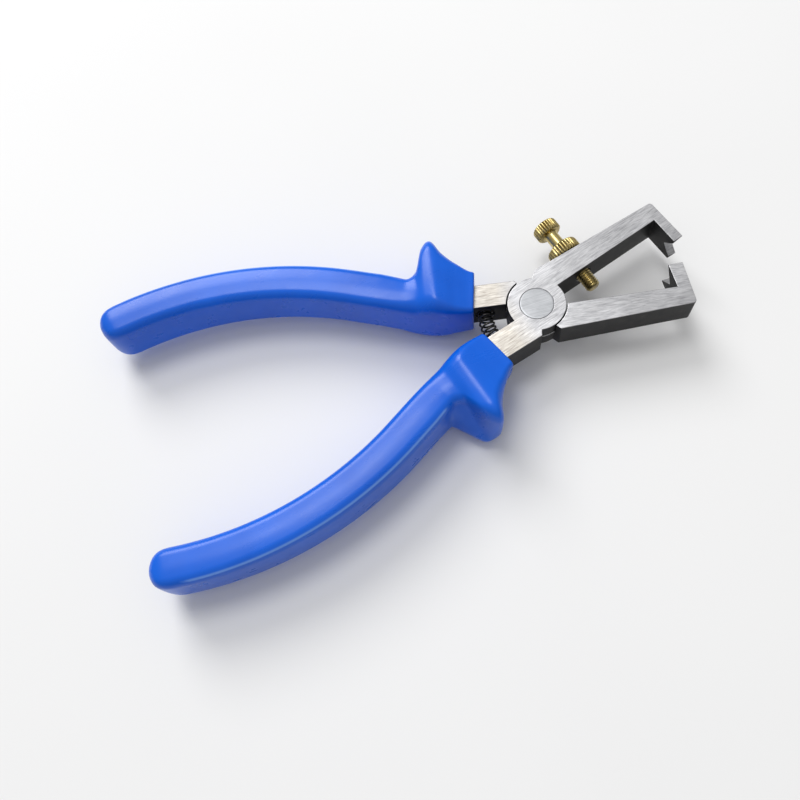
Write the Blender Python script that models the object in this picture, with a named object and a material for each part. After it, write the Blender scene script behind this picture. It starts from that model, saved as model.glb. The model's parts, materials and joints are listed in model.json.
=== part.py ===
"""Wire stripper with an adjusting screw, 160 mm class, modelled in its half-open working pose.

Lengths are in millimetres until a mesh is made, where MM turns them into metres.
Row frame: origin on the pivot axis at the underside of the head, +X towards the jaws,
+Z along the pivot axis. Each lever is drawn in its own frame, with the arm along +X, the
outer edge at +Y and the handle at -X; the plain lever is the mirror image of that frame.
"""
import math

import bmesh
import bpy
from mathutils import Matrix, Vector

MM = 0.001

# Head
HEAD_THICKNESS = 8.7
MID_Z = HEAD_THICKNESS / 2
HALF_OPEN_DEG = 13.35          # each lever's angle from the X axis at rest
GAP = 0.3                      # clearance between neighbouring pieces
BOSS_RADIUS = 7.57
ROUND_STEPS = 72               # sides of a full circle on the pivot

# Rivet, flush with both faces
RIVET_HEAD_RADIUS = 4.29
RIVET_SHANK_RADIUS = 3.2
RIVET_HEAD_DEPTH = 0.8
RIVET_CONE_DEPTH = 1.1
RIVET_CLEARANCE = 0.12

# Hooks: the screw lever's hook passes outside the plain lever's hook
HOOK_ROUND = 0.9               # rounding of the hook's outer corner
NOTCH_WIDTH = 6.0
NOTCH_DEPTH = 2.75
NOTCH_RELIEF = 1.1             # extra depth of the notch on its open side

# Handles: straight tang, bend outwards, straight run, long bow back inwards
TANG_STRAIGHT_END = -19.0
BEND_RADIUS = 40.0
STRAIGHT_RUN = 18.4
BOW_RADIUS = 97.0
TANG_BOW_DEG = 33.6
PATH_STEP_DEG = 2.4

# Grips
GRIP_START = -15.8
GRIP_HALF_WIDTH = 5.05
GRIP_HALF_HEIGHT = 7.2
GRIP_CORNER = 2.4
GRIP_END_ROUND = 5.0
LIP_SKEW_DEG = 8.0             # the front lip leans back on its inner side
GUARD_LENGTH = 26.0            # stretch behind the lip that the guard shapes
GUARD_SQUARE = 11.0            # sections up to here stand square to the head
GUARD_STEP = 1.1

# Adjusting screw, M4, square to the screw lever's arm at mid-thickness
SCREW_X = 16.5
THREAD_RADIUS = 2.0
SCREW_TIP_Y = -3.1
SCREW_TIP_RADIUS = 1.5
HEAD_LOW_Y = 16.6
HEAD_TOP_Y = 19.9
HEAD_RADIUS = 3.5
NECK_RADIUS = 1.85
NUT_THICKNESS = 3.4
NUT_RADIUS = 4.4
KNURL_DEPTH = 0.3
KNURL_TEETH = 24

# Opening spring between the tangs
SPRING_ARC_RADIUS = 13.3
SPRING_RADIUS = 1.85
SPRING_WIRE_RADIUS = 0.28
SPRING_TURNS = 8
SPRING_HALF_ARC_DEG = 23.0
SEAT_RADIUS = 2.55
SEAT_DEPTH = 2.4


class LeverShape:
    """Edge positions of one lever in its own frame."""

    def __init__(self, side, arm_inner, arm_outer, hook, tang_inner, tang_outer, shoulder, step,
                 bend_deg, bow_deg):
        self.side = side                # +1 screw lever, -1 plain lever (mirrored)
        self.arm_inner = arm_inner      # y of the inner edge at the boss
        self.arm_outer = arm_outer      # (x, y) of the arm's rear outer corner
        self.hook = hook                # inner corner, inner tip, outer tip, outer corner
        self.tang_inner = tang_inner    # y of the tang's inner edge
        self.tang_outer = tang_outer    # y of the tang's outer edge
        self.shoulder = shoulder        # x where the arm's rear chamfer meets the boss
        self.step = step                # x of the tang's outer corner
        self.bend_deg = bend_deg        # outward bend of the handle behind the head
        self.bow_deg = bow_deg          # sweep of the grip's long bow

    @property
    def tang_centre(self):
        return (self.tang_inner + self.tang_outer) / 2

    @property
    def tang_half(self):
        return (self.tang_inner - self.tang_outer) / 2


SCREW_LEVER = LeverShape(
    side=1, arm_inner=1.35, arm_outer=(5.4, 8.3),
    hook=((39.4, 2.65), (39.5, -5.35), (42.35, -5.3), (42.0, 7.5)),
    tang_inner=-0.85, tang_outer=-8.25, shoulder=3.3, step=-4.1, bend_deg=16.7,
    bow_deg=41.7)

PLAIN_LEVER = LeverShape(
    side=-1, arm_inner=1.0, arm_outer=(5.0, 7.95),
    hook=((35.9, 0.2), (34.9, -6.4), (38.6, -6.6), (39.85, 5.25)),
    tang_inner=-0.85, tang_outer=-7.4, shoulder=3.7, step=-4.9, bend_deg=17.3,
    bow_deg=40.9)


# ---------------------------------------------------------------- scene and materials

def clear_scene():
    for old in list(bpy.data.objects):
        bpy.data.objects.remove(old, do_unlink=True)


def make_material(name, colour, metallic, roughness):
    material = bpy.data.materials.new(name)
    material.use_nodes = True
    shader = material.node_tree.nodes["Principled BSDF"]
    shader.inputs["Base Color"].default_value = (*colour, 1.0)
    shader.inputs["Metallic"].default_value = metallic
    shader.inputs["Roughness"].default_value = roughness
    return material


# ---------------------------------------------------------------- mesh helpers

def new_object(name, mesh_data, material=None):
    """Turn a bmesh in millimetres into an object in metres."""
    bmesh.ops.recalc_face_normals(mesh_data, faces=mesh_data.faces)
    bmesh.ops.scale(mesh_data, vec=(MM, MM, MM), verts=mesh_data.verts)
    mesh = bpy.data.meshes.new(name)
    mesh_data.to_mesh(mesh)
    mesh_data.free()
    obj = bpy.data.objects.new(name, mesh)
    bpy.context.collection.objects.link(obj)
    if material:
        mesh.materials.append(material)
        mesh.shade_smooth()
        mesh.set_sharp_from_angle(angle=math.radians(35))
    return obj


def prism(outline, low_z, high_z):
    """Straight extrusion of a closed outline."""
    solid = bmesh.new()
    ring = [solid.verts.new((x, y, low_z)) for x, y in outline]
    face = solid.faces.new(ring)
    extruded = bmesh.ops.extrude_face_region(solid, geom=[face])
    lifted = [item for item in extruded["geom"] if isinstance(item, bmesh.types.BMVert)]
    bmesh.ops.translate(solid, verts=lifted, vec=(0, 0, high_z - low_z))
    return solid


def loft(rings):
    """Closed solid through rings that have the same number of points."""
    solid = bmesh.new()
    loops = [[solid.verts.new(point) for point in ring] for ring in rings]
    for one, two in zip(loops, loops[1:]):
        for i, corner in enumerate(one):
            j = (i + 1) % len(one)
            solid.faces.new((corner, one[j], two[j], two[i]))
    solid.faces.new(loops[0])
    solid.faces.new(loops[-1])
    return solid


def turned(profile, steps, radius_at=None):
    """Solid of revolution about Z through (radius, z) points, closed flat at both ends."""
    def ring(radius, z):
        points = []
        for i in range(steps):
            angle = math.tau * i / steps
            r = radius_at(radius, i) if radius_at else radius
            points.append((r * math.cos(angle), r * math.sin(angle), z))
        return points
    return loft([ring(radius, z) for radius, z in profile])


def cut(target, cutter):
    """Subtract a hidden cutter from an object."""
    cutter.hide_render = True
    cutter.display_type = "WIRE"
    modifier = target.modifiers.new("cut_" + cutter.name, "BOOLEAN")
    modifier.operation = "DIFFERENCE"
    modifier.solver = "EXACT"
    modifier.object = cutter


def arc(radius, start_deg, end_deg, steps, centre=(0.0, 0.0)):
    """Points on a circular arc, both ends included."""
    points = []
    for i in range(steps + 1):
        angle = math.radians(start_deg + (end_deg - start_deg) * i / steps)
        points.append((centre[0] + radius * math.cos(angle), centre[1] + radius * math.sin(angle)))
    return points


# ---------------------------------------------------------------- handle centre line

def handle_path(shape, start_x, bow_deg):
    """Stations (point, unit direction) down a handle's centre line, from the head outwards."""
    stations = []
    point = Vector((start_x, shape.tang_centre))
    heading = math.pi

    def record():
        stations.append((point.copy(), Vector((math.cos(heading), math.sin(heading)))))

    def forward(length):
        nonlocal point
        point = point + Vector((math.cos(heading), math.sin(heading))) * length
        record()

    def turn(radius, degrees):
        nonlocal point, heading
        steps = max(1, round(abs(degrees) / PATH_STEP_DEG))
        turn_step = math.radians(degrees) / steps
        chord = 2 * radius * math.sin(abs(turn_step) / 2)
        for _ in range(steps):
            heading += turn_step / 2
            point = point + Vector((math.cos(heading), math.sin(heading))) * chord
            heading += turn_step / 2
            record()

    record()
    forward(start_x - TANG_STRAIGHT_END)
    turn(BEND_RADIUS, shape.bend_deg)
    forward(STRAIGHT_RUN)
    turn(BOW_RADIUS, -bow_deg)
    return stations


def rounded_corner(before, corner, after, radius, steps=4):
    """Arc that replaces a corner of an outline."""
    corner = Vector(corner)
    into = (corner - Vector(before)).normalized()
    out = (Vector(after) - corner).normalized()
    turn = into.angle_signed(out)
    reach = radius * math.tan(abs(turn) / 2)
    points = [corner - into * reach]
    chord = 2 * radius * math.sin(abs(turn) / steps / 2)
    for i in range(steps):
        heading = Matrix.Rotation(-turn * (i + 0.5) / steps, 2) @ into
        points.append(points[-1] + heading * chord)
    return [(point.x, point.y) for point in points]


def side_points(stations, offset):
    """Points to the left (+) or right (-) of the path; left is the outer edge."""
    return [(p.x - d.y * offset, p.y + d.x * offset) for p, d in stations]


def tang_outline(shape, start_x, extra):
    """Strip of the tang from start_x to its end, widened by extra on every side."""
    stations = handle_path(shape, start_x, TANG_BOW_DEG)
    half = shape.tang_half + extra
    last, direction = stations[-1]
    end = last + direction * extra
    stations.append((end, direction))
    outer = side_points(stations, half)
    inner = side_points(stations, -half)
    return outer, inner


# ---------------------------------------------------------------- levers

def lever_outline(shape):
    """Arm, hook, boss and tang in one closed outline, counter-clockwise."""
    inner_corner, inner_tip, outer_tip, outer_corner = shape.hook
    start_angle = math.degrees(math.asin(shape.arm_inner / BOSS_RADIUS))
    shoulder_angle = math.degrees(math.acos(shape.shoulder / BOSS_RADIUS))
    tang_angle = 180 - math.degrees(math.asin(shape.tang_inner / BOSS_RADIUS))
    step_x = shape.step + 0.9
    step_angle = 360 - math.degrees(math.acos(step_x / BOSS_RADIUS))
    outer, inner = tang_outline(shape, shape.step, 0.0)
    inner[0] = (-BOSS_RADIUS * math.cos(math.radians(tang_angle - 180)), shape.tang_inner)
    rear_arc = arc(BOSS_RADIUS, shoulder_angle, tang_angle, 24)
    front_arc = arc(BOSS_RADIUS, step_angle, 360 + start_angle, 24)
    outline = [inner_corner, inner_tip, outer_tip]
    outline += rounded_corner(outer_tip, outer_corner, shape.arm_outer, HOOK_ROUND)
    outline += [shape.arm_outer] + rear_arc[:-1] + inner + outer[::-1] + front_arc
    return [(x, y * shape.side) for x, y in outline]


def notch_cutter(shape, name):
    """V-shaped stripping notch in the hook's tip, opening away from the shearing face."""
    inner_tip, outer_tip = shape.hook[1:3]
    (edge_x, tip_y), (open_x, _) = (inner_tip, outer_tip)[::shape.side]
    beyond = 2.0
    slope = NOTCH_WIDTH / 2 / NOTCH_DEPTH
    rings = []
    for share in (-0.2, 1.3):
        x = edge_x + (open_x - edge_x) * share
        depth = NOTCH_DEPTH + NOTCH_RELIEF * share
        low_half = slope * (depth + beyond)
        ring = [(x, tip_y + depth, MID_Z), (x, tip_y - beyond, MID_Z + low_half),
                (x, tip_y - beyond, MID_Z - low_half)]
        rings.append([(px, py * shape.side, pz) for px, py, pz in ring])
    return new_object(name, loft(rings))


def seat_cutter(shape, name):
    """Blind hole in the tang's inner edge for one end of the spring."""
    mouth = 0.5
    profile = [(SEAT_RADIUS, -SEAT_DEPTH), (SEAT_RADIUS, mouth)]
    cutter = new_object(name, turned(profile, 24))
    cutter.location = Vector((-SPRING_ARC_RADIUS, shape.tang_inner * shape.side, MID_Z)) * MM
    cutter.rotation_euler = (math.radians(-90 * shape.side), 0, 0)
    return cutter


def rivet_profile(clearance, beyond):
    head = RIVET_HEAD_RADIUS + clearance
    shank = RIVET_SHANK_RADIUS + clearance
    cone_end = RIVET_HEAD_DEPTH + RIVET_CONE_DEPTH
    top = HEAD_THICKNESS
    return [(head, -beyond), (head, RIVET_HEAD_DEPTH), (shank, cone_end),
            (shank, top - cone_end), (head, top - RIVET_HEAD_DEPTH), (head, top + beyond)]


def make_lever(name, shape, material):
    lever = new_object(name, prism(lever_outline(shape), 0, HEAD_THICKNESS), material)
    lever.rotation_euler.z = math.radians(HALF_OPEN_DEG * shape.side)
    half_gap = GAP / 2
    if shape.side > 0:
        low, high = -1.0, MID_Z + half_gap
    else:
        low, high = MID_Z - half_gap, HEAD_THICKNESS + 1.0
    lap = [(BOSS_RADIUS + GAP, low), (BOSS_RADIUS + GAP, high)]
    cutters = [
        new_object(name + "_lap_cutter", turned(lap, ROUND_STEPS)),
        new_object(name + "_bore_cutter", turned(rivet_profile(RIVET_CLEARANCE, 1.0), ROUND_STEPS)),
        notch_cutter(shape, name + "_notch_cutter"),
        seat_cutter(shape, name + "_seat_cutter"),
    ]
    if shape.side > 0:
        cutters.append(screw_hole_cutter(name + "_screw_hole_cutter"))
    for cutter in cutters:
        cutter.parent = lever
        cut(lever, cutter)
    return lever


def make_rivet(material):
    return new_object("pivot_rivet", turned(rivet_profile(0.0, 0.0), ROUND_STEPS), material)


# ---------------------------------------------------------------- adjusting screw and nut

def place_on_screw_axis(obj, lever):
    """Local +Z of the piece points outwards along the screw; local origin at y = 0."""
    obj.parent = lever
    obj.location = Vector((SCREW_X, 0, MID_Z)) * MM
    obj.rotation_euler = (math.radians(-90), 0, 0)


def arm_outer_y(shape, x):
    """Height of the arm's outer edge at x."""
    (x0, y0), (x1, y1) = shape.arm_outer, shape.hook[3]
    return y0 + (y1 - y0) * (x - x0) / (x1 - x0)


def screw_hole_cutter(name):
    profile = [(THREAD_RADIUS + GAP, -1.0), (THREAD_RADIUS + GAP, 12.0)]
    cutter = new_object(name, turned(profile, 32))
    cutter.location = Vector((SCREW_X, 0, MID_Z)) * MM
    cutter.rotation_euler = (math.radians(-90), 0, 0)
    return cutter


def knurled(radius, index):
    """Every second point of a knurled ring lies a groove's depth inwards."""
    return radius - KNURL_DEPTH * (index % 2)


def knurled_disc(low, high, radius, inner_radius, chamfer):
    """Short knurled cylinder with a hole or a solid core."""
    solid = bmesh.new()
    sides = KNURL_TEETH * 2
    levels = [(radius - chamfer, low), (radius, low + chamfer), (radius, high - chamfer),
              (radius - chamfer, high)]
    loops = []
    for level_radius, z in levels:
        ring = []
        for i in range(sides):
            angle = math.tau * i / sides
            r = knurled(level_radius, i)
            ring.append(solid.verts.new((r * math.cos(angle), r * math.sin(angle), z)))
        loops.append(ring)
    if inner_radius:
        for z in (high, low):
            ring = []
            for i in range(sides):
                angle = math.tau * i / sides
                ring.append(solid.verts.new((inner_radius * math.cos(angle),
                                             inner_radius * math.sin(angle), z)))
            loops.append(ring)
        loops.append(loops[0])
    for one, two in zip(loops, loops[1:]):
        for i in range(sides):
            j = (i + 1) % sides
            solid.faces.new((one[i], one[j], two[j], two[i]))
    if not inner_radius:
        solid.faces.new(loops[0])
        solid.faces.new(loops[-1])
    return solid


def make_screw(lever, material):
    """Conical tip, threaded shank, smooth neck and knurled head in one turned piece."""
    steps = KNURL_TEETH * 2
    chamfer = 0.4
    nut_top = arm_outer_y(SCREW_LEVER, SCREW_X) + GAP + NUT_THICKNESS

    def head_ring(radius, index):
        return knurled(radius, index) if radius > THREAD_RADIUS else radius

    profile = [
        (SCREW_TIP_RADIUS, SCREW_TIP_Y), (THREAD_RADIUS, SCREW_TIP_Y + 0.9),
        (THREAD_RADIUS, nut_top), (NECK_RADIUS, nut_top + 0.3), (NECK_RADIUS, HEAD_LOW_Y),
        (HEAD_RADIUS - chamfer, HEAD_LOW_Y), (HEAD_RADIUS, HEAD_LOW_Y + chamfer),
        (HEAD_RADIUS, HEAD_TOP_Y - chamfer), (HEAD_RADIUS - chamfer, HEAD_TOP_Y),
    ]
    screw = new_object("adjusting_screw", turned(profile, steps, head_ring), material)
    place_on_screw_axis(screw, lever)
    return screw


def make_nut(lever, material):
    low = arm_outer_y(SCREW_LEVER, SCREW_X) + GAP
    solid = knurled_disc(low, low + NUT_THICKNESS, NUT_RADIUS, THREAD_RADIUS + GAP, 0.4)
    nut = new_object("lock_nut", solid, material)
    place_on_screw_axis(nut, lever)
    return nut


# ---------------------------------------------------------------- spring

def make_spring(material):
    """Coil spring bowed around the pivot, its ends in the two tangs' seats."""
    points_per_turn = 12
    wire_sides = 6
    count = SPRING_TURNS * points_per_turn
    rings = []
    for i in range(count + 1):
        share = i / count
        sweep = math.radians(SPRING_HALF_ARC_DEG * (2 * share - 1))
        outward = Vector((-math.cos(sweep), math.sin(sweep), 0))
        coil_angle = math.tau * SPRING_TURNS * share
        radial = outward * math.cos(coil_angle) + Vector((0, 0, 1)) * math.sin(coil_angle)
        centre = outward * SPRING_ARC_RADIUS + Vector((0, 0, MID_Z)) + radial * SPRING_RADIUS
        along = Vector((math.sin(sweep), math.cos(sweep), 0))
        ring = []
        for k in range(wire_sides):
            angle = math.tau * k / wire_sides
            offset = radial * math.cos(angle) + along * math.sin(angle)
            ring.append(centre + offset * SPRING_WIRE_RADIUS)
        rings.append(ring)
    return new_object("opening_spring", loft(rings), material)


# ---------------------------------------------------------------- grips

def rounded_ring(half_in, top_out, low_out, rise, drop, corner, steps=3):
    """Rounded section as (across, up) points; across is positive towards the outer side."""
    ring = []
    quarters = ((top_out, rise, 0), (-half_in, rise, 90),
                (-half_in, -drop, 180), (low_out, -drop, 270))
    for across, up, start in quarters:
        centre = (across - math.copysign(corner, across), up - math.copysign(corner, up))
        ring += arc(corner, start, start + 90, steps, centre)
    return ring


def smooth(value):
    return value * value * (3 - 2 * value)


# distance behind the lip, outer half width above and below the middle, rise, drop
GUARD_PROFILE = (
    (0.0, 6.0, 5.6, 6.3, 6.3), (4.5, 9.0, 7.8, 7.3, 7.4), (7.6, 12.4, 12.6, 8.4, 9.0),
    (10.1, 16.4, 16.0, 9.0, 10.4), (12.5, 14.4, 15.2, 8.5, 10.8), (15.2, 6.8, 14.0, 7.4, 10.4),
    (18.4, 4.6, 9.8, 7.0, 8.8), (21.0, 4.7, 5.0, 7.1, 7.6),
    (GUARD_LENGTH, GRIP_HALF_WIDTH, GRIP_HALF_WIDTH, GRIP_HALF_HEIGHT, GRIP_HALF_HEIGHT),
)


def guard_size(distance):
    """Outer half widths, rise and drop of the grip at a distance behind its front lip."""
    for one, two in zip(GUARD_PROFILE, GUARD_PROFILE[1:]):
        if distance <= two[0]:
            share = smooth((distance - one[0]) / (two[0] - one[0]))
            return tuple(a + (b - a) * share for a, b in zip(one[1:], two[1:]))
    return GUARD_PROFILE[-1][1:]


def station_at(stations, distance):
    """Point and direction at a distance along the path."""
    for (p0, d0), (p1, d1) in zip(stations, stations[1:]):
        length = (p1 - p0).length
        if distance <= length:
            share = distance / length
            return p0.lerp(p1, share), d0.lerp(d1, share).normalized()
        distance -= length
    return stations[-1]


def section(shape, station, half_in, top_out, low_out, rise, drop, corner):
    point, direction = station
    ring = []
    for across, up in rounded_ring(half_in, top_out, low_out, rise, drop, corner):
        x = point.x - direction.y * across
        y = point.y + direction.x * across
        ring.append((x, y * shape.side, MID_Z + up))
    return ring


def grip_rings(shape):
    """Sections from the front lip, over the finger guard, to the rounded end."""
    stations = handle_path(shape, GRIP_START, shape.bow_deg)
    total = sum((b[0] - a[0]).length for a, b in zip(stations, stations[1:]))
    rings = []
    guard_steps = round(GUARD_LENGTH / GUARD_STEP)
    for i in range(guard_steps + 1):
        distance = GUARD_LENGTH * i / guard_steps
        point, direction = station_at(stations, distance)
        skew = math.radians(LIP_SKEW_DEG) * max(0.0, 1 - distance / GUARD_SQUARE)
        square = Matrix.Rotation(skew, 2) @ Vector((-1.0, 0.0))
        follow = smooth(max(0.0, distance - GUARD_SQUARE) / (GUARD_LENGTH - GUARD_SQUARE))
        direction = square.lerp(direction, follow).normalized()
        rings.append(section(shape, (point, direction), GRIP_HALF_WIDTH, *guard_size(distance),
                             GRIP_CORNER))
    body_length = total - GUARD_LENGTH - GRIP_END_ROUND
    body_steps = round(body_length / 4)
    for i in range(1, body_steps):
        station = station_at(stations, GUARD_LENGTH + body_length * i / body_steps)
        rings.append(section(shape, station, GRIP_HALF_WIDTH, *GUARD_PROFILE[-1][1:],
                             GRIP_CORNER))
    for angle_deg in (0, 25, 45, 62, 76):
        angle = math.radians(angle_deg)
        station = station_at(stations, total - GRIP_END_ROUND * (1 - math.sin(angle)))
        shrink = GRIP_END_ROUND * (1 - math.cos(angle)) * 0.8
        half = GRIP_HALF_WIDTH - shrink
        height = GRIP_HALF_HEIGHT - shrink
        rings.append(section(shape, station, half, half, half, height, height,
                             min(GRIP_CORNER, half * 0.9)))
    return rings


def make_grip(name, lever, shape, material):
    """Moulded sleeve over the tang, with a finger guard near its front lip."""
    grip = new_object(name, loft(grip_rings(shape)), material)
    outer, inner = tang_outline(shape, GRIP_START + 2.0, GAP)
    pocket = [(x, y * shape.side) for x, y in outer + inner[::-1]]
    cutter = new_object(name + "_pocket_cutter", prism(pocket, -GAP, HEAD_THICKNESS + GAP))
    cutter.parent = grip
    cut(grip, cutter)
    grip.parent = lever
    return grip


# ---------------------------------------------------------------- assembly

def main():
    clear_scene()
    steel = make_material("ground_steel", (0.62, 0.61, 0.60), 1.0, 0.38)
    rivet_steel = make_material("rivet_steel", (0.60, 0.60, 0.62), 1.0, 0.34)
    spring_steel = make_material("spring_steel", (0.05, 0.05, 0.05), 0.9, 0.4)
    brass = make_material("brass", (0.55, 0.42, 0.16), 1.0, 0.35)
    blue = make_material("blue_plastic", (0.0, 0.14, 0.68), 0.0, 0.3)

    screw_lever = make_lever("screw_lever", SCREW_LEVER, steel)
    plain_lever = make_lever("plain_lever", PLAIN_LEVER, steel)
    make_rivet(rivet_steel)
    make_grip("screw_lever_grip", screw_lever, SCREW_LEVER, blue)
    make_grip("plain_lever_grip", plain_lever, PLAIN_LEVER, blue)
    make_screw(screw_lever, brass)
    make_nut(screw_lever, brass)
    make_spring(spring_steel)


main()
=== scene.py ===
"""Looks of the wire stripper: ground and blackened steel, moulded grips, brass screw and nut.

Lengths are in millimetres until a mesh is made, where MM turns them into metres.
A lever's own frame has the arm along +X, its outer edge at +Y and the handle at -X;
the plain lever is the mirror image (side -1) of the screw lever (side +1).
"""

import json
import math

import bmesh
import bpy
import numpy as np
from mathutils import Matrix, Vector

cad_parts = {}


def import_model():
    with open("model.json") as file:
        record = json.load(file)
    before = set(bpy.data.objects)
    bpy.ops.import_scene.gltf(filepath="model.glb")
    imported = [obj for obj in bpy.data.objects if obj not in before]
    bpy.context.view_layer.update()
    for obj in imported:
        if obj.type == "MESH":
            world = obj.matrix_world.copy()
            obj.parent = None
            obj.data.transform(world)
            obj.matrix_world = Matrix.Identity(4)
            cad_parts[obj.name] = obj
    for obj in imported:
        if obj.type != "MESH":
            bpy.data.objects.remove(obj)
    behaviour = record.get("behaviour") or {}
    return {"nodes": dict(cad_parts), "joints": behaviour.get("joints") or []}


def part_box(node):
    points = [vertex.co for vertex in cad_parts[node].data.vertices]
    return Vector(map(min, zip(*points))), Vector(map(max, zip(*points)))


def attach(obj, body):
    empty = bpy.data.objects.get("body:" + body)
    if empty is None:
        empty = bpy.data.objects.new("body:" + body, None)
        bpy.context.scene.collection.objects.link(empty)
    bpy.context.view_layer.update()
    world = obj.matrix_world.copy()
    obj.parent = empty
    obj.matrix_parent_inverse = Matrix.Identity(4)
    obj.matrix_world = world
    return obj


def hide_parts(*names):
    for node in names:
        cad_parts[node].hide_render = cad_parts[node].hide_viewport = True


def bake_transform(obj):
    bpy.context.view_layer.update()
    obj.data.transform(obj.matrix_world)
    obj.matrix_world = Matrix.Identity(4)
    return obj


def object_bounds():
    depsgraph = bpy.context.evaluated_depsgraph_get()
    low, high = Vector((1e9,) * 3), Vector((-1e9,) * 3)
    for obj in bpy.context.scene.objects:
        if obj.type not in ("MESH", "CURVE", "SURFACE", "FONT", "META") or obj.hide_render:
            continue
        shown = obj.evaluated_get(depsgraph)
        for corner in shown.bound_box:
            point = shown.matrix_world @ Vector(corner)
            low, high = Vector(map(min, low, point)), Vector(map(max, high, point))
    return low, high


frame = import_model()
CAD_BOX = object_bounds()
MM = 0.001

# ---------------------------------------------------------------- sizes taken from the frame

JOINTS = {joint["name"]: joint for joint in frame["joints"]}
MID_Z = JOINTS["jaw_pivot"]["pos_m"][2] / MM
HEAD_THICKNESS = 2 * MID_Z
RIVET_HEAD_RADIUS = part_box("pivot_rivet")[1].x / MM
SCREW_POINT = Vector(JOINTS["screw_turn"]["pos_m"]) / MM
SCREW_OUTWARD = -Vector(JOINTS["screw_turn"]["axis"])
HALF_OPEN_DEG = math.degrees(math.atan2(-SCREW_OUTWARD.x, SCREW_OUTWARD.y))


def span_along_screw(node):
    """Lowest and highest reach of a node along the screw's axis, and its widest radius."""
    along, radii = [], []
    for vertex in frame["nodes"][node].data.vertices:
        offset = vertex.co / MM - SCREW_POINT
        reach = offset.dot(SCREW_OUTWARD)
        along.append(reach)
        radii.append((offset - SCREW_OUTWARD * reach).length)
    return min(along), max(along), max(radii)


SCREW_TIP, SCREW_TOP, SCREW_HEAD_RADIUS = span_along_screw("adjusting_screw")
NUT_LOW, NUT_HIGH, NUT_RADIUS = span_along_screw("lock_nut")

# ---------------------------------------------------------------- sizes of the finer shapes

# Levers and rivet
EDGE_BREAK = 0.16              # bevel on the levers' sharp edges
RIVET_SHANK_RADIUS = 3.2
RIVET_HEAD_DEPTH = 0.8
RIVET_CONE_DEPTH = 1.1
RIVET_FILL = 0.1               # how far the hammered head fills its countersink's clearance
RIVET_EDGE = 0.08              # rounding of its rim

# Handle centre line: straight tang, bend outwards, straight run, long bow back inwards
TANG_STRAIGHT_END = -19.0
BEND_RADIUS = 40.0
STRAIGHT_RUN = 18.4
BOW_RADIUS = 97.0
TANG_BOW_DEG = 33.6
PATH_STEP_DEG = 0.8

# Grips
GRIP_START = -15.8
GRIP_HALF_WIDTH = 5.05
GRIP_HALF_HEIGHT = 7.2
GRIP_ROUND = 2.6
GRIP_TIP_WIDTH_RUN = 6.5       # length over which the end narrows
GRIP_TIP_HEIGHT_RUN = 4.5      # length over which the end gets lower
GRIP_CROWN = 0.16              # bulge in the middle of each face
LIP_ROUND = 0.55
LIP_SKEW_DEG = 8.0
GUARD_LENGTH = 26.0
GUARD_SQUARE = 11.0
POCKET_GAP = 0.12
CORNER_STEPS = 8
SIDE_SHARES = (0.04, 0.16, 0.34, 0.5, 0.66, 0.84, 0.96)    # points along each flat side
SEAM_INDEX = CORNER_STEPS // 2                             # the outer top corner's middle
SEAM_HEIGHT = 0.10             # moulding line along the outer top edge
SEAM_START = 20.0              # distance behind the lip
SEAM_END = 96.0

# distance behind the lip, outer half widths above and below the middle, rise, drop,
# rounding of the outer top, inner top and lower corners
GUARD_PROFILE = (
    (0.0, 6.8, 5.8, 6.3, 6.3, 1.2, 1.4, 2.0),
    (4.5, 9.8, 8.0, 7.3, 7.4, 2.2, 2.0, 2.6),
    (7.6, 13.0, 13.0, 8.4, 9.0, 3.4, 3.0, 3.2),
    (10.1, 16.9, 16.2, 9.0, 10.4, 4.4, 4.0, 4.2),
    (12.5, 14.6, 15.8, 8.5, 10.8, 4.4, 4.2, 4.4),
    (15.2, 6.8, 14.3, 7.4, 10.4, 3.2, 4.0, 4.2),
    (18.4, 4.7, 9.6, 7.05, 8.8, 2.6, 3.2, 3.4),
    (21.0, 4.8, 5.2, 7.1, 7.6, 2.5, 2.8, 2.8),
    (GUARD_LENGTH, GRIP_HALF_WIDTH, GRIP_HALF_WIDTH, GRIP_HALF_HEIGHT, GRIP_HALF_HEIGHT,
     GRIP_ROUND, GRIP_ROUND, GRIP_ROUND),
)

# Screw and nut
THREAD_RADIUS = 2.0
THREAD_DEPTH = 0.3
THREAD_PITCH = 0.7
NECK_RADIUS = 1.78
HEAD_HEIGHT = 3.3
HEAD_TEETH = 27
NUT_TEETH = 30
KNURL_DEPTH = 0.3
POINTS_PER_TOOTH = 8

# Spring
SPRING_ARC_RADIUS = 13.3
SPRING_RADIUS = 1.85
SPRING_WIRE_RADIUS = 0.27
SPRING_TURNS = 8
SPRING_HALF_ARC_DEG = 23.0
SPRING_POINTS_PER_TURN = 28

# Camera and light
CAMERA_PLACE_MM = (-47.2, -87.9, 199.7)
CAMERA_TURN_DEG = (20.81, 5.57, -18.51)
CAMERA_LENS = 36.81
SKY_LOW = 0.22                 # brightness of the studio at the horizon and overhead
SKY_HIGH = 0.64
# name, place from the object's middle in metres, diameter in metres, watts
SOFTBOXES = (
    ("softbox_above", (-0.10, 0.45, 1.5), 0.6, 7.0),
    ("softbox_behind", (-0.3, 1.5, 1.3), 1.1, 24.0),
)
FLOOR_HALF = 3000.0


class LeverShape:
    """What a grip needs to know of its lever, in the lever's own frame."""

    def __init__(self, side, tang_inner, tang_outer, bend_deg, bow_deg):
        self.side = side
        self.tang_centre = (tang_inner + tang_outer) / 2
        self.tang_half = (tang_inner - tang_outer) / 2
        self.bend_deg = bend_deg
        self.bow_deg = bow_deg


SCREW_LEVER = LeverShape(1, -0.85, -8.25, 16.7, 41.7)
PLAIN_LEVER = LeverShape(-1, -0.85, -7.4, 17.3, 40.9)


# ---------------------------------------------------------------- mesh helpers

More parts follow.
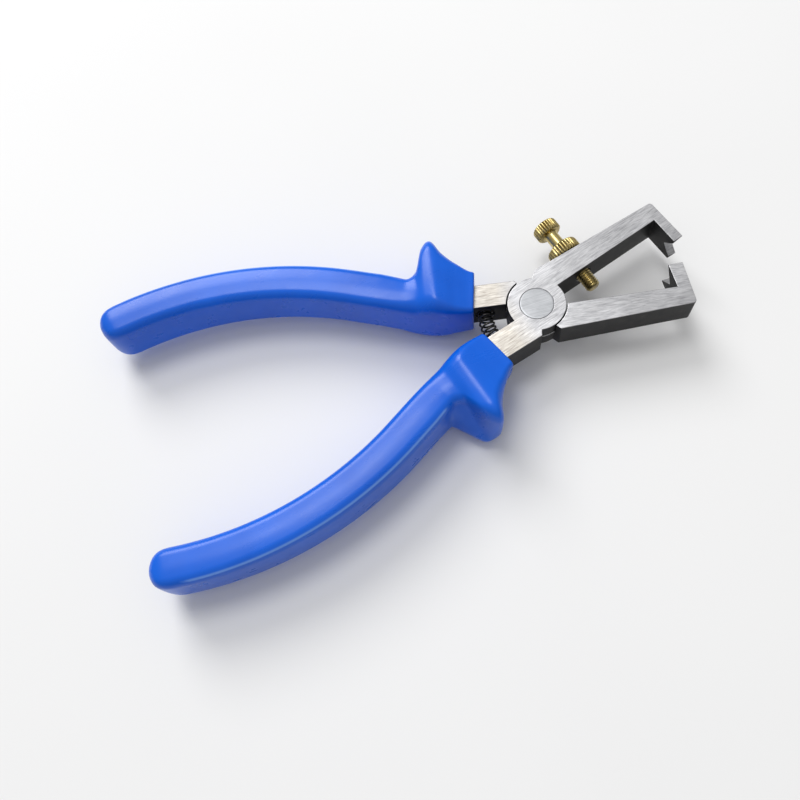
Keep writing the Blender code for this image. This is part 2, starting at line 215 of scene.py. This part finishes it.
def new_piece(name, solid, material, sharp_deg=40.0):
    """Turn a bmesh in millimetres into a smooth-shaded object in metres."""
    bmesh.ops.recalc_face_normals(solid, faces=solid.faces)
    bmesh.ops.scale(solid, vec=(MM, MM, MM), verts=solid.verts)
    mesh = bpy.data.meshes.new(name)
    solid.to_mesh(mesh)
    solid.free()
    mesh.materials.append(material)
    mesh.shade_smooth()
    mesh.set_sharp_from_angle(angle=math.radians(sharp_deg))
    obj = bpy.data.objects.new(name, mesh)
    bpy.context.collection.objects.link(obj)
    return obj


def loft(rings, closed=False):
    """Solid through rings with the same number of points; closed joins the last to the first."""
    solid = bmesh.new()
    loops = [[solid.verts.new(point) for point in ring] for ring in rings]
    for one, two in zip(loops, loops[1:] + loops[:1] if closed else loops[1:]):
        for i, corner in enumerate(one):
            j = (i + 1) % len(one)
            solid.faces.new((corner, one[j], two[j], two[i]))
    if not closed:
        solid.faces.new(loops[0])
        solid.faces.new(loops[-1])
    return solid


def turned_ring(radius, z, steps, radius_at=None):
    """Ring about Z; radius_at(radius, z, angle) may shape it."""
    ring = []
    for i in range(steps):
        angle = math.tau * i / steps
        r = radius_at(radius, z, angle) if radius_at else radius
        ring.append((r * math.cos(angle), r * math.sin(angle), z))
    return ring


def turned(profile, steps, radius_at=None):
    """Rings of revolution about Z through (radius, z) points."""
    return [turned_ring(radius, z, steps, radius_at) for radius, z in profile]


def arc(radius, start_deg, end_deg, steps, centre=(0.0, 0.0)):
    """Points on a circular arc, both ends included."""
    points = []
    for i in range(steps + 1):
        angle = math.radians(start_deg + (end_deg - start_deg) * i / steps)
        points.append((centre[0] + radius * math.cos(angle), centre[1] + radius * math.sin(angle)))
    return points


def smooth(value):
    """Ease from 0 to 1, flat outside."""
    value = min(1.0, max(0.0, value))
    return value * value * (3 - 2 * value)


def monotone_curve(knots, x):
    """Smooth curve through rows of (x, values...) that never overshoots a row."""
    rows = np.array(knots)
    gaps = np.diff(rows[:, 0])
    rates = np.diff(rows[:, 1:], axis=0) / gaps[:, None]
    slopes = np.zeros_like(rows[:, 1:])
    product = rates[:-1] * rates[1:]
    total = rates[:-1] + rates[1:]
    slopes[1:-1] = np.where(product > 0, 2 * product / np.where(total == 0, 1, total), 0)
    i = int(np.clip(np.searchsorted(rows[:, 0], x) - 1, 0, len(gaps) - 1))
    t = min(1.0, (x - rows[i, 0]) / gaps[i])
    start = (2 * t ** 3 - 3 * t ** 2 + 1) * rows[i, 1:]
    start = start + (t ** 3 - 2 * t ** 2 + t) * gaps[i] * slopes[i]
    end = (3 * t ** 2 - 2 * t ** 3) * rows[i + 1, 1:]
    end = end + (t ** 3 - t ** 2) * gaps[i] * slopes[i + 1]
    return start + end


def turn_with_lever(obj, side):
    """Stand a piece that was built in a lever's own frame in its half-open place."""
    obj.data.transform(Matrix.Rotation(math.radians(HALF_OPEN_DEG * side), 4, "Z"))


# ---------------------------------------------------------------- node materials

class Nodes:
    """Short way to write a Principled node material."""

    def __init__(self, name):
        self.material = bpy.data.materials.new(name)
        self.material.use_nodes = True
        self.tree = self.material.node_tree
        self.shader = self.tree.nodes["Principled BSDF"]

    def add(self, kind, links=None, values=None, **settings):
        """New node with its properties, constant inputs and links set."""
        node = self.tree.nodes.new(kind)
        for key, value in settings.items():
            setattr(node, key, value)
        for key, value in (values or {}).items():
            node.inputs[key].default_value = value
        for key, source in (links or {}).items():
            self.tree.links.new(source, node.inputs[key])
        return node

    def coords(self, scale, turn_deg=0.0):
        """Object coordinates, turned and then stretched; scale is in repeats per metre."""
        source = self.add("ShaderNodeTexCoord").outputs["Object"]
        mapping = self.add("ShaderNodeMapping", {"Vector": source},
                           {"Scale": [1 / size for size in scale],
                            "Rotation": (0, 0, math.radians(turn_deg))},
                           vector_type="TEXTURE")
        return mapping.outputs["Vector"]

    def noise(self, vector, scale=1.0, detail=4.0, roughness=0.55, distortion=0.0):
        node = self.add("ShaderNodeTexNoise", {"Vector": vector},
                        {"Scale": scale, "Detail": detail, "Roughness": roughness,
                         "Distortion": distortion})
        return node.outputs["Fac"]

    def remap(self, source, from_low, from_high, to_low, to_high):
        node = self.add("ShaderNodeMapRange", {"Value": source},
                        {"From Min": from_low, "From Max": from_high,
                         "To Min": to_low, "To Max": to_high})
        return node.outputs["Result"]

    def combine(self, operation, one, two):
        """Arithmetic on two numbers or sockets."""
        node = self.add("ShaderNodeMath", operation=operation)
        for index, item in enumerate((one, two)):
            if isinstance(item, (int, float)):
                node.inputs[index].default_value = item
            else:
                self.tree.links.new(item, node.inputs[index])
        return node.outputs["Value"]

    def ramp(self, source, *stops):
        """Colour ramp; each stop is (position, colour)."""
        node = self.add("ShaderNodeValToRGB", {"Fac": source})
        elements = node.color_ramp.elements
        while len(elements) < len(stops):
            elements.new(0.5)
        for element, (position, colour) in zip(elements, stops):
            element.position = position
            element.color = (*colour, 1.0)
        return node.outputs["Color"]

    def mix(self, factor, one, two):
        """Mix of two colours or sockets."""
        node = self.add("ShaderNodeMix", data_type="RGBA")
        self.tree.links.new(factor, node.inputs["Factor"])
        for index, item in ((6, one), (7, two)):
            if isinstance(item, tuple):
                node.inputs[index].default_value = (*item, 1.0)
            else:
                self.tree.links.new(item, node.inputs[index])
        return node.outputs[2]

    def bump(self, height, strength, distance_mm, normal=None):
        node = self.add("ShaderNodeBump", {"Height": height},
                        {"Strength": strength, "Distance": distance_mm * MM})
        if normal:
            self.tree.links.new(normal, node.inputs["Normal"])
        return node.outputs["Normal"]

    def blend_values(self, share, one, two):
        """one * (1 - share) + two * share."""
        return self.combine("ADD", self.combine("MULTIPLY", two, share),
                            self.combine("MULTIPLY", self.combine("SUBTRACT", 1.0, share), one))

    def surface(self, colour, metallic, roughness, normal=None):
        """Set the shader from numbers or sockets and return the material."""
        for key, source in (("Base Color", colour), ("Metallic", metallic),
                            ("Roughness", roughness), ("Normal", normal)):
            if source is None:
                continue
            if isinstance(source, (int, float)):
                self.shader.inputs[key].default_value = source
            else:
                self.tree.links.new(source, self.shader.inputs[key])
        return self.material


def ground_grain(nodes, turn_deg):
    """Fine lines along the arm, crossed by short slanting strokes."""
    along = nodes.noise(nodes.coords((260, 3600, 900), turn_deg), detail=5, roughness=0.65)
    strokes = nodes.noise(nodes.coords((330, 1700, 900), turn_deg + 6), detail=4, distortion=0.6)
    return nodes.combine("ADD", nodes.combine("MULTIPLY", along, 0.6),
                         nodes.combine("MULTIPLY", strokes, 0.4))


def ground_colour(nodes, grain, turn_deg):
    """Bright grey on the arms, warmer on the tangs, with faint cloudy patches."""
    bright = nodes.ramp(grain, (0.36, (0.30, 0.30, 0.315)), (0.48, (0.50, 0.50, 0.515)),
                        (0.62, (0.70, 0.70, 0.715)))
    mottle = nodes.noise(nodes.coords((95, 160, 160), turn_deg), detail=3)
    place = nodes.coords((1, 1, 1), turn_deg)
    x = nodes.add("ShaderNodeSeparateXYZ", {"Vector": place}).outputs["X"]
    warmth = nodes.remap(x, -0.004, -0.010, 0.0, 1.0)
    warm = nodes.ramp(grain, (0.36, (0.29, 0.265, 0.235)), (0.48, (0.45, 0.42, 0.38)),
                      (0.62, (0.62, 0.59, 0.54)))
    ground = nodes.mix(warmth, bright, warm)
    patches = nodes.ramp(mottle, (0.35, (0.82, 0.82, 0.82)), (0.65, (1.0, 1.0, 1.0)))
    tinted = nodes.add("ShaderNodeMix", data_type="RGBA", blend_type="MULTIPLY")
    tinted.inputs["Factor"].default_value = 1.0
    nodes.tree.links.new(ground, tinted.inputs[6])
    nodes.tree.links.new(patches, tinted.inputs[7])
    return tinted.outputs[2]


def lever_steel(name, turn_deg):
    """Ground bright on the flat faces, grey in the notches, blackened on the sides."""
    nodes = Nodes(name)
    facing = nodes.add("ShaderNodeTexCoord").outputs["Normal"]
    up = nodes.add("ShaderNodeSeparateXYZ", {"Vector": facing}).outputs["Z"]
    flatness = nodes.combine("ABSOLUTE", up, 0.0)
    is_cut = nodes.remap(flatness, 0.20, 0.34, 0.0, 1.0)
    is_flat = nodes.remap(flatness, 0.74, 0.86, 0.0, 1.0)
    grain = ground_grain(nodes, turn_deg)
    oxide_noise = nodes.noise(nodes.coords((420, 420, 420)), detail=5)
    oxide = nodes.ramp(oxide_noise, (0.35, (0.006, 0.006, 0.007)), (0.62, (0.016, 0.015, 0.014)),
                       (0.75, (0.035, 0.032, 0.028)))
    grey = nodes.ramp(grain, (0.38, (0.24, 0.24, 0.25)), (0.62, (0.44, 0.44, 0.45)))
    colour = nodes.mix(is_flat, nodes.mix(is_cut, oxide, grey),
                       ground_colour(nodes, grain, turn_deg))
    rough = nodes.blend_values(is_cut, 0.52, nodes.remap(grain, 0.35, 0.65, 0.44, 0.32))
    metallic = nodes.remap(is_cut, 0.0, 1.0, 0.35, 1.0)
    fine = nodes.bump(grain, 0.35, 0.05)
    return nodes.surface(colour, metallic, rough, nodes.bump(oxide_noise, 0.12, 0.06, fine))


def rivet_steel():
    """Slightly darker than the levers, ground in one direction."""
    nodes = Nodes("rivet_steel")
    lines = nodes.noise(nodes.coords((180, 5200, 900), -4), detail=5, roughness=0.6)
    clouds = nodes.noise(nodes.coords((300, 300, 300)), detail=2)
    mixed = nodes.combine("ADD", nodes.combine("MULTIPLY", lines, 0.75),
                          nodes.combine("MULTIPLY", clouds, 0.25))
    colour = nodes.ramp(mixed, (0.36, (0.31, 0.32, 0.335)), (0.64, (0.50, 0.51, 0.53)))
    rough = nodes.remap(lines, 0.35, 0.65, 0.38, 0.28)
    return nodes.surface(colour, 1.0, rough, nodes.bump(lines, 0.3, 0.05))


def blue_plastic():
    """Glossy moulded plastic with soft waves, fine texture and a painted highlight in paler blue
    along the moulding line.
    """
    nodes = Nodes("blue_plastic")
    clouds = nodes.noise(nodes.coords((55, 55, 55)), detail=3)
    blue = nodes.ramp(clouds, (0.3, (0.0, 0.098, 0.60)), (0.7, (0.0, 0.120, 0.70)))
    seam_painted_highlight = nodes.add("ShaderNodeAttribute", attribute_name="seam_painted_highlight").outputs["Fac"]
    # painted highlight: paler blue along the raised moulding line, standing in for the light the
    # ridge catches
    colour = nodes.mix(nodes.combine("MULTIPLY", seam_painted_highlight, 0.8), blue, (0.22, 0.42, 0.90))
    smear = nodes.noise(nodes.coords((110, 340, 200), 12), detail=4)
    rough = nodes.remap(smear, 0.3, 0.7, 0.26, 0.32)
    nodes.shader.inputs["Specular IOR Level"].default_value = 0.38
    waves = nodes.bump(nodes.noise(nodes.coords((130, 130, 130)), detail=1), 0.2, 0.2)
    fine = nodes.bump(smear, 0.08, 0.05, waves)
    return nodes.surface(colour, 0.0, rough, fine)


def brass():
    """Turned brass, with painted shade that darkens it in its grooves and recesses."""
    nodes = Nodes("brass")
    groove_shade = nodes.add("ShaderNodeAttribute", attribute_name="groove_shade").outputs["Fac"]
    clouds = nodes.noise(nodes.coords((500, 500, 500)), detail=4)
    clean = nodes.ramp(clouds, (0.32, (0.50, 0.39, 0.15)), (0.68, (0.68, 0.56, 0.26)))
    # painted shade: dark brown mixed in by the per-point groove share, standing in for shade in
    # grooves and recesses
    colour = nodes.mix(nodes.combine("MULTIPLY", groove_shade, 0.85), clean, (0.13, 0.085, 0.025))
    rings = nodes.noise(nodes.coords((300, 300, 7000)), detail=3)
    rough = nodes.remap(clouds, 0.3, 0.7, 0.34, 0.22)
    return nodes.surface(colour, 1.0, rough, nodes.bump(rings, 0.22, 0.04))


def spring_steel():
    """Dark oiled wire with drawn lines."""
    nodes = Nodes("spring_steel")
    spots = nodes.noise(nodes.coords((1500, 1500, 1500)), detail=3)
    colour = nodes.ramp(spots, (0.35, (0.02, 0.02, 0.022)), (0.7, (0.09, 0.088, 0.085)))
    rough = nodes.remap(spots, 0.3, 0.7, 0.26, 0.42)
    return nodes.surface(colour, 0.9, rough, nodes.bump(spots, 0.15, 0.03))


def floor_material():
    """Plain pale paper."""
    nodes = Nodes("floor_paper")
    tone = nodes.noise(nodes.coords((6, 6, 6)), detail=2)
    colour = nodes.ramp(tone, (0.3, (0.80, 0.80, 0.80)), (0.7, (0.82, 0.82, 0.82)))
    return nodes.surface(colour, 0.0, 0.8)


# ---------------------------------------------------------------- levers and rivet

def finished_lever(node, side):
    """The CAD lever with its facets merged, its edges broken and its faces ready for shading."""
    solid = bmesh.new()
    solid.from_mesh(frame["nodes"][node].data)
    bmesh.ops.scale(solid, vec=(1 / MM,) * 3, verts=solid.verts)
    own_frame = Matrix.Rotation(-math.radians(HALF_OPEN_DEG * side), 4, "Z")
    bmesh.ops.transform(solid, matrix=own_frame, verts=solid.verts)
    bmesh.ops.remove_doubles(solid, verts=solid.verts, dist=0.003)
    bmesh.ops.dissolve_limit(solid, angle_limit=math.radians(0.8), verts=solid.verts,
                             edges=solid.edges)
    material = lever_steel(node + "_steel", HALF_OPEN_DEG * side)
    lever = new_piece(node + "_finished", solid, material, 30)
    bevel = lever.modifiers.new("broken_edges", "BEVEL")
    bevel.limit_method = "ANGLE"
    bevel.angle_limit = math.radians(30)
    bevel.width = EDGE_BREAK * MM
    bevel.segments = 2
    bevel.use_clamp_overlap = False
    weighted = lever.modifiers.new("flat_faces_stay_flat", "WEIGHTED_NORMAL")
    weighted.keep_sharp = False
    turn_with_lever(lever, side)
    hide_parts(node)
    return lever


def make_rivet(material):
    """Turned rivet, its two heads filling their countersinks flush."""
    head = RIVET_HEAD_RADIUS + RIVET_FILL
    cone_end = RIVET_HEAD_DEPTH + RIVET_CONE_DEPTH
    half = [(head - 0.5, 0.0), (head - 0.22, 0.0), (head - RIVET_EDGE, 0.01), (head, RIVET_EDGE),
            (head, RIVET_HEAD_DEPTH - 0.2), (head - 0.25, RIVET_HEAD_DEPTH + 0.02),
            (RIVET_SHANK_RADIUS, cone_end)]
    profile = half + [(radius, HEAD_THICKNESS - z) for radius, z in reversed(half)]
    rivet = new_piece("rivet_finished", loft(turned(profile, 128)), material, 30)
    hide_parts("pivot_rivet")
    return rivet


# ---------------------------------------------------------------- grips

def handle_path(shape, start_x, bow_deg):
    """Stations (point, unit direction) down a handle's centre line, from the head outwards."""
    stations = []
    point = Vector((start_x, shape.tang_centre))
    heading = math.pi

    def record():
        stations.append((point.copy(), Vector((math.cos(heading), math.sin(heading)))))

    def forward(length):
        nonlocal point
        point = point + Vector((math.cos(heading), math.sin(heading))) * length
        record()

    def turn(radius, degrees):
        nonlocal point, heading
        steps = max(1, round(abs(degrees) / PATH_STEP_DEG))
        turn_step = math.radians(degrees) / steps
        chord = 2 * radius * math.sin(abs(turn_step) / 2)
        for _ in range(steps):
            heading += turn_step / 2
            point = point + Vector((math.cos(heading), math.sin(heading))) * chord
            heading += turn_step / 2
            record()

    record()
    forward(start_x - TANG_STRAIGHT_END)
    turn(BEND_RADIUS, shape.bend_deg)
    forward(STRAIGHT_RUN)
    turn(BOW_RADIUS, -bow_deg)
    return stations


def path_length(stations):
    return sum((two[0] - one[0]).length for one, two in zip(stations, stations[1:]))


def station_at(stations, distance):
    """Point and direction at a distance along the path."""
    for (p0, d0), (p1, d1) in zip(stations, stations[1:]):
        length = (p1 - p0).length
        if distance <= length:
            share = distance / length
            return p0.lerp(p1, share), d0.lerp(d1, share).normalized()
        distance -= length
    return stations[-1]


def grip_station(stations, distance):
    """As station_at, but square to the head under the guard, with the lip leaning back."""
    point, direction = station_at(stations, distance)
    skew = math.radians(LIP_SKEW_DEG) * max(0.0, 1 - distance / GUARD_SQUARE)
    square = Matrix.Rotation(skew, 2) @ Vector((-1.0, 0.0))
    follow = smooth((distance - GUARD_SQUARE) / (GUARD_LENGTH - GUARD_SQUARE))
    return point, square.lerp(direction, follow).normalized()


def section(half_in, top_out, low_out, rise, drop, rounds, crown):
    """Rounded four-sided section as (across, up) points; across is positive outwards."""
    ring = []
    corners = ((top_out, rise, 0), (-half_in, rise, 90), (-half_in, -drop, 180),
               (low_out, -drop, 270))
    arcs = []
    for (across, up, start), radius in zip(corners, rounds):
        radius = min(radius, 0.96 * abs(across), 0.96 * abs(up))
        centre = (across - math.copysign(radius, across), up - math.copysign(radius, up))
        arcs.append(arc(radius, start, start + 90, CORNER_STEPS, centre))
    for index, points in enumerate(arcs):
        ring += points
        start = Vector(points[-1])
        end = Vector(arcs[(index + 1) % 4][0])
        outwards = Vector(((end - start).y, -(end - start).x)).normalized()
        for share in SIDE_SHARES:
            bulge = crown * math.sin(math.pi * share)
            ring.append(tuple(start.lerp(end, share) + outwards * bulge))
    return ring


def stand(shape, station, ring):
    """Section points set across a station of the path."""
    point, direction = station
    return [(point.x - direction.y * across, (point.y + direction.x * across) * shape.side,
             MID_Z + up) for across, up in ring]


def grip_section(distance, total, inset=0.0):
    """Section of the grip at a distance behind its lip."""
    top_out, low_out, rise, drop, outer_round, inner_round, low_round = (
        monotone_curve(GUARD_PROFILE, min(distance, GUARD_LENGTH)))
    width, height = 1.0, 1.0
    left = total - distance
    if left < GRIP_TIP_WIDTH_RUN:
        width = max(0.16, (1 - (1 - left / GRIP_TIP_WIDTH_RUN) ** 2.5) ** (1 / 2.5))
    if left < GRIP_TIP_HEIGHT_RUN:
        height = 0.5 + 0.5 * (1 - (1 - left / GRIP_TIP_HEIGHT_RUN) ** 2.3) ** (1 / 2.3)
    rounds = [size - inset * 0.5 for size in (outer_round, inner_round, low_round, low_round)]
    return section(GRIP_HALF_WIDTH * width - inset, top_out * width - inset,
                   low_out * width - inset, rise * height - inset, drop * height - inset,
                   rounds, GRIP_CROWN * width)


def grip_distances(total):
    """Distances of the sections: dense at the lip, over the guard and at the rounded end."""
    guard = np.arange(LIP_ROUND, GUARD_LENGTH, 0.45)
    body = np.linspace(GUARD_LENGTH, total - GRIP_TIP_WIDTH_RUN, 60)
    tip = total - GRIP_TIP_WIDTH_RUN * np.cos(np.linspace(0, math.pi / 2, 16)[1:]) ** 1.3
    return [*guard, *body, *tip]


def pocket_rings(shape):
    """Sections of the pocket round the tang, from its bottom to the lip."""
    stations = handle_path(shape, GRIP_START, TANG_BOW_DEG)
    total = path_length(stations) + POCKET_GAP
    half = shape.tang_half + POCKET_GAP
    height = MID_Z + POCKET_GAP
    ring = section(half, half, half, height, height, (0.2,) * 4, 0.0)
    return [stand(shape, grip_station(stations, distance), ring)
            for distance in np.linspace(total, 0.0, 50)]


def raise_seam(ring, distance):
    """Lift the moulding line's point out of the section, and return its share of full height,
    which also sets the strength of the painted highlight along it.
    """
    rise = smooth((distance - SEAM_START) / 2) * smooth((SEAM_END - distance) / 3)
    across, up = ring[SEAM_INDEX]
    step = SEAM_HEIGHT * rise / math.sqrt(2)
    ring[SEAM_INDEX] = (across + step, up + step)
    return rise


def make_grip(name, node, shape, material):
    """Moulded sleeve with a pocket for the tang, a rounded lip and a finger guard."""
    stations = handle_path(shape, GRIP_START, shape.bow_deg)
    total = path_length(stations)
    rings = pocket_rings(shape)
    for angle in np.radians((0, 22.5, 45, 67.5)):
        distance = LIP_ROUND * (1 - math.cos(angle))
        inset = LIP_ROUND * (1 - math.sin(angle))
        rings.append(stand(shape, grip_station(stations, distance),
                           grip_section(distance, total, inset)))
    seam_rows = []
    for distance in grip_distances(total):
        ring = grip_section(distance, total)
        rise = raise_seam(ring, distance)
        seam_rows.append((len(rings), rise))
        rings.append(stand(shape, grip_station(stations, distance), ring))
    count = len(rings[0])
    grip = new_piece(name, loft(rings), material, 50)
    # painted highlight along the moulding line, weighted by its share of full height
    seam_painted_highlight = grip.data.attributes.new("seam_painted_highlight", "FLOAT", "POINT")
    for row, rise in seam_rows:
        seam_painted_highlight.data[row * count + SEAM_INDEX].value = rise
    turn_with_lever(grip, shape.side)
    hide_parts(node)
    return grip


# ---------------------------------------------------------------- adjusting screw and nut

def add_groove_shade(obj, groove_shade_at):
    """Per-point share of a groove's depth, for the painted shade in the material."""
    groove_shade = obj.data.attributes.new("groove_shade", "FLOAT", "POINT")
    for vertex, value in zip(obj.data.vertices, groove_shade.data):
        x, y, z = vertex.co / MM
        value.value = groove_shade_at(math.hypot(x, y), z, math.atan2(y, x))


def stand_on_screw_axis(obj):
    """Local +Z points outwards along the screw, with z = 0 at the joint's point."""
    obj.matrix_world = (Matrix.Translation(SCREW_POINT * MM)
                        @ SCREW_OUTWARD.to_track_quat("Z", "X").to_matrix().to_4x4())


def knurl(angle, teeth):
    """Share of the groove's depth round a straight knurl with rounded teeth."""
    return abs(math.sin(teeth * angle / 2)) ** 1.5


def thread_share(z, angle):
    """Share of the thread's depth at a height and an angle; 0 on the crest."""
    phase = (z / THREAD_PITCH - angle / math.tau) % 1.0
    return smooth(1.25 * (1 - abs(2 * phase - 1)))


def make_screw(material):
    """Conical tip, cut thread, smooth neck with a fillet, and a knurled head."""
    head_low = SCREW_TOP - HEAD_HEIGHT
    thread_end = NUT_HIGH + 0.25
    tip_run = 0.9

    def thread_radius(limit, z, angle):
        fade = smooth((thread_end - z) / 0.3)
        return min(limit, THREAD_RADIUS - THREAD_DEPTH * fade * thread_share(z, angle))

    def knurled_radius(radius, z, angle):
        limit = SCREW_HEAD_RADIUS - KNURL_DEPTH * (1 - knurl(angle, HEAD_TEETH))
        return min(radius, limit)

    steps = HEAD_TEETH * POINTS_PER_TOOTH
    rings = turned([(0.5, SCREW_TIP), (1.25, SCREW_TIP + 0.03)], steps)
    for z in np.arange(SCREW_TIP + 0.08, thread_end, THREAD_PITCH / 9):
        limit = 1.4 + 0.6 * smooth((z - SCREW_TIP) / tip_run) ** 0.6
        rings.append(turned_ring(limit, z, steps, thread_radius))
    fillet = 0.75
    neck = [(NECK_RADIUS, thread_end + 0.1), (NECK_RADIUS, head_low - fillet)]
    neck += [(NECK_RADIUS + fillet * (1 - math.cos(a)), head_low - fillet * (1 - math.sin(a)))
             for a in np.linspace(0.2, math.pi / 2, 6)]
    chamfer = 0.45
    edge = SCREW_HEAD_RADIUS - chamfer
    head = [(edge - 0.15, head_low), (edge, head_low + 0.06),
            (SCREW_HEAD_RADIUS, head_low + chamfer),
            (SCREW_HEAD_RADIUS, head_low + HEAD_HEIGHT / 2),
            (SCREW_HEAD_RADIUS, SCREW_TOP - chamfer),
            (SCREW_HEAD_RADIUS - 0.18, SCREW_TOP - 0.18),
            (edge, SCREW_TOP - 0.05), (edge - 0.3, SCREW_TOP - 0.01), (1.2, SCREW_TOP)]
    rings += turned(neck, steps) + turned(head, steps, knurled_radius)
    screw = new_piece("screw_finished", loft(rings), material, 50)

    # painted shade: darker in the thread, between the knurl's teeth and in the corner under the
    # head
    def groove_shade_at(radius, z, angle):
        if z < thread_end:
            return 0.7 * thread_share(z, angle)
        if radius > SCREW_HEAD_RADIUS - KNURL_DEPTH - 0.1:
            return 1 - knurl(angle, HEAD_TEETH)
        return 0.35 * smooth((z - head_low + 0.6) / 0.6) if z < head_low + 0.1 else 0.0

    add_groove_shade(screw, groove_shade_at)
    stand_on_screw_axis(screw)
    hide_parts("adjusting_screw")
    return screw


def make_nut(material):
    """Knurled lock nut: the teeth run out over its rounded top edge."""
    steps = NUT_TEETH * POINTS_PER_TOOTH
    chamfer = 0.5
    bore = THREAD_RADIUS + 0.08

    def knurled_radius(radius, z, angle):
        limit = NUT_RADIUS - KNURL_DEPTH * (1 - knurl(angle, NUT_TEETH))
        return min(radius, limit)

    outer = [(bore + 0.35, NUT_LOW), (NUT_RADIUS - chamfer, NUT_LOW),
             (NUT_RADIUS, NUT_LOW + chamfer), (NUT_RADIUS, (NUT_LOW + NUT_HIGH) / 2),
             (NUT_RADIUS, NUT_HIGH - chamfer), (NUT_RADIUS - 0.2, NUT_HIGH - 0.16),
             (NUT_RADIUS - chamfer, NUT_HIGH), (bore + 0.35, NUT_HIGH)]
    inner = [(bore, NUT_HIGH - 0.35), (bore, NUT_LOW + 0.35)]
    rings = turned(outer, steps, knurled_radius) + turned(inner, steps)
    nut = new_piece("nut_finished", loft(rings, closed=True), material, 50)

    # painted shade: darker between the knurl's teeth and inside the bore
    def groove_shade_at(radius, z, angle):
        if radius > NUT_RADIUS - KNURL_DEPTH - 0.25:
            return 1 - knurl(angle, NUT_TEETH)
        return 0.3 if radius < bore + 0.4 else 0.0

    add_groove_shade(nut, groove_shade_at)
    stand_on_screw_axis(nut)
    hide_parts("lock_nut")
    return nut


# ---------------------------------------------------------------- spring

def make_spring(material):
    """Coil spring bowed round the pivot between the two levers."""
    count = SPRING_TURNS * SPRING_POINTS_PER_TURN
    rings = []
    for i in range(count + 1):
        share = i / count
        sweep = math.radians(SPRING_HALF_ARC_DEG * (2 * share - 1))
        outward = Vector((-math.cos(sweep), math.sin(sweep), 0))
        along = Vector((math.sin(sweep), math.cos(sweep), 0))
        coil_angle = math.tau * SPRING_TURNS * share
        radial = outward * math.cos(coil_angle) + Vector((0, 0, 1)) * math.sin(coil_angle)
        centre = outward * SPRING_ARC_RADIUS + Vector((0, 0, MID_Z)) + radial * SPRING_RADIUS
        rings.append([centre + (radial * x + along * y)
                      for x, y in arc(SPRING_WIRE_RADIUS, 0, 330, 11)])
    spring = new_piece("spring_finished", loft(rings), material, 50)
    for sign in (-1, 1):
        sweep = math.radians(SPRING_HALF_ARC_DEG * sign)
    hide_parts("opening_spring")
    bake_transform(spring)
    return spring


# ---------------------------------------------------------------- stage

def make_floor():
    """Large plane under the lowest point of the tool."""
    low = CAD_BOX[0].z / MM
    solid = bmesh.new()
    signs = ((-1, -1), (1, -1), (1, 1), (-1, 1))
    corners = [solid.verts.new((x * FLOOR_HALF, y * FLOOR_HALF, low)) for x, y in signs]
    solid.faces.new(corners)
    new_piece("floor", solid, floor_material())


def add_light(name, place, target, size, power):
    """Round softbox at place, facing target."""
    data = bpy.data.lights.new(name, "AREA")
    data.shape = "DISK"
    data.size = size
    data.energy = power
    light = bpy.data.objects.new(name, data)
    light.location = place
    light.rotation_euler = (Vector(target) - Vector(place)).to_track_quat("-Z", "Y").to_euler()
    bpy.context.collection.objects.link(light)


def light_the_stage():
    """Two softboxes and a studio that is brighter overhead than at the horizon."""
    centre = (CAD_BOX[0] + CAD_BOX[1]) / 2
    for name, offset, size, power in SOFTBOXES:
        add_light(name, centre + Vector(offset), centre, size, power)
    world = bpy.data.worlds.new("studio")
    world.use_nodes = True
    tree = world.node_tree
    direction = tree.nodes.new("ShaderNodeTexCoord").outputs["Generated"]
    split = tree.nodes.new("ShaderNodeSeparateXYZ")
    tree.links.new(direction, split.inputs["Vector"])
    height = tree.nodes.new("ShaderNodeMapRange")
    height.inputs["From Min"].default_value = 0.0
    height.inputs["From Max"].default_value = 1.0
    height.inputs["To Min"].default_value = SKY_LOW
    height.inputs["To Max"].default_value = SKY_HIGH
    tree.links.new(split.outputs["Z"], height.inputs["Value"])
    background = tree.nodes["Background"]
    background.inputs["Color"].default_value = (1.0, 1.0, 1.0, 1.0)
    tree.links.new(height.outputs["Result"], background.inputs["Strength"])
    bpy.context.scene.world = world
    bpy.context.scene.view_settings.view_transform = "Standard"


def make_camera():
    """Camera above the middle of the tool, looking down at a slant from the -Y side."""
    data = bpy.data.cameras.new("camera")
    data.lens = CAMERA_LENS
    data.sensor_width = 36.0
    data.clip_start = 0.01
    camera = bpy.data.objects.new("camera", data)
    camera.location = Vector(CAMERA_PLACE_MM) * MM
    camera.rotation_euler = [math.radians(angle) for angle in CAMERA_TURN_DEG]
    bpy.context.collection.objects.link(camera)
    bpy.context.scene.camera = camera


# ---------------------------------------------------------------- assembly

def main():
    """Make every piece, hang all but the spring on their CAD bodies and set the stage."""
    blue = blue_plastic()
    gold = brass()
    riders = (
        (finished_lever("screw_lever", 1), "screw_side", "ground_steel"),
        (finished_lever("plain_lever", -1), "plain_side", "ground_steel"),
        (make_rivet(rivet_steel()), "screw_side", "rivet_steel"),
        (make_grip("screw_grip", "screw_lever_grip", SCREW_LEVER, blue), "screw_side",
         "blue_plastic"),
        (make_grip("plain_grip", "plain_lever_grip", PLAIN_LEVER, blue), "plain_side",
         "blue_plastic"),
        (make_screw(gold), "screw", "brass"),
        (make_nut(gold), "nut", "brass"),
    )
    for piece, body, slot in riders:
        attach(piece, body)
    make_spring(spring_steel())
    make_floor()
    light_the_stage()
    make_camera()


main()
